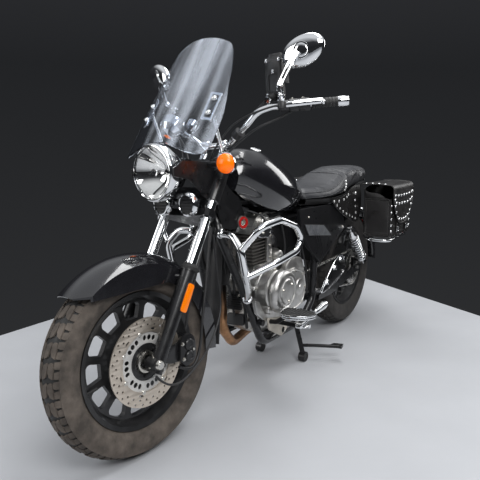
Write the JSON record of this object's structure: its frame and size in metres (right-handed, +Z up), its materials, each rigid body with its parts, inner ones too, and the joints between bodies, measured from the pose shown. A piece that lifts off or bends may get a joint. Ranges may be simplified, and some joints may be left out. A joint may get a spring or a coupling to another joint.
{
  "type": "cruiser motorcycle",
  "caption": "Cruiser motorcycle on its centre stand, with windshield, engine guard, dual seat and a pair of lidded saddlebags.",
  "frame": {"origin": "on the floor, half-way along the machine on its middle plane, as it stands on its centre stand", "axes": "+X forward along the machine, +Y to the rider's left, +Z up"},
  "size_m": [2.2621, 0.8809, 1.3212],
  "materials": {
    "black_paint": "gloss",
    "frame_paint": "satin",
    "cover_paint": "satin",
    "chrome": "polished",
    "cast_alloy": "satin cast",
    "black_alloy": "satin",
    "steel": "brushed",
    "header_steel": "heat tinted",
    "tyre": "matt",
    "rubber": "matt",
    "leather": "soft sheen",
    "bag_leather": "soft sheen",
    "plastic": "matt",
    "amber": "clear amber",
    "red_lens": "clear red",
    "screen": "clear",
    "lens": "clear",
    "seat_leather": "soft sheen"
  },
  "bodies": {
    "chassis": {"frame": "frame_paint", "cradle_tubes": "frame_paint", "battery_box": "plastic", "swingarm": "frame_paint", "rear_axle": "steel", "shock_absorbers": "chrome", "rear_fender": "black_paint", "engine_case": "cast_alloy", "engine_covers": "cast_alloy", "cylinder_barrel": "black_alloy", "cylinder_head": "cast_alloy", "air_intake": "plastic", "exhaust_pipe": "header_steel", "muffler": "chrome", "drive_chain": "steel", "fuel_tank": "black_paint", "fuel_cap": "chrome", "seat": "seat_leather", "side_covers": "black_paint", "neck_covers": "cover_paint", "crash_bar": "chrome", "saddlebags": "bag_leather", "bag_rails": "chrome", "foot_controls": "chrome", "passenger_pegs": "black_paint", "rear_lamps": "red_lens", "plate_bracket": "plastic"},
    "steering": {"front_axle": "steel", "fork_sliders": "black_alloy", "fork_stanchions": "chrome", "fork_clamps": "black_alloy", "front_fender": "black_paint", "brake_calliper": "black_alloy", "lamp_bracket": "black_alloy", "headlight_shell": "chrome", "headlight_lens": "lens", "front_indicators": "amber", "horns": "chrome", "speedometer": "chrome", "handlebar": "chrome", "grips": "rubber", "hand_controls": "cast_alloy", "phone_holder": "plastic", "mirrors": "chrome", "windshield": "screen", "windshield_brackets": "chrome", "brake_hose": "rubber"},
    "front_wheel": {"front_rim": "black_alloy", "front_tyre": "tyre", "brake_disc": "steel"},
    "rear_wheel": {"rear_rim": "black_alloy", "rear_tyre": "tyre", "rear_sprocket": "steel"},
    "centre_stand": {"centre_stand": "frame_paint"},
    "left_bag_lid": {"left_bag_lid": "bag_leather"},
    "right_bag_lid": {"right_bag_lid": "bag_leather"}
  },
  "joints": [
    {"name": "steering", "type": "hinge", "parent": "chassis", "child": "steering", "pos_m": [0.47126, 0, 0.78643], "axis": [-0.515, 0, 0.8572], "range_deg": [-28.8, 43.2]},
    {"name": "front_wheel_spin", "type": "hinge", "parent": "steering", "child": "front_wheel", "pos_m": [0.82961, -0.00727, 0.30176], "axis": [0.1074, 0.9921, 0.0646], "continuous": true},
    {"name": "rear_wheel_spin", "type": "hinge", "parent": "chassis", "child": "rear_wheel", "pos_m": [-0.7, 0, 0.311], "axis": [0, 1, 0], "continuous": true},
    {"name": "centre_stand_fold", "type": "hinge", "parent": "chassis", "child": "centre_stand", "pos_m": [-0.11, 0, 0.205], "axis": [0, 1, 0], "range_deg": [0, 75]},
    {"name": "left_lid", "type": "hinge", "parent": "chassis", "child": "left_bag_lid", "pos_m": [-0.718, 0.179, 0.763], "axis": [1, 0, 0], "range_deg": [0, 95]},
    {"name": "right_lid", "type": "hinge", "parent": "chassis", "child": "right_bag_lid", "pos_m": [-0.718, -0.179, 0.763], "axis": [-1, 0, 0], "range_deg": [0, 95]}
  ]
}
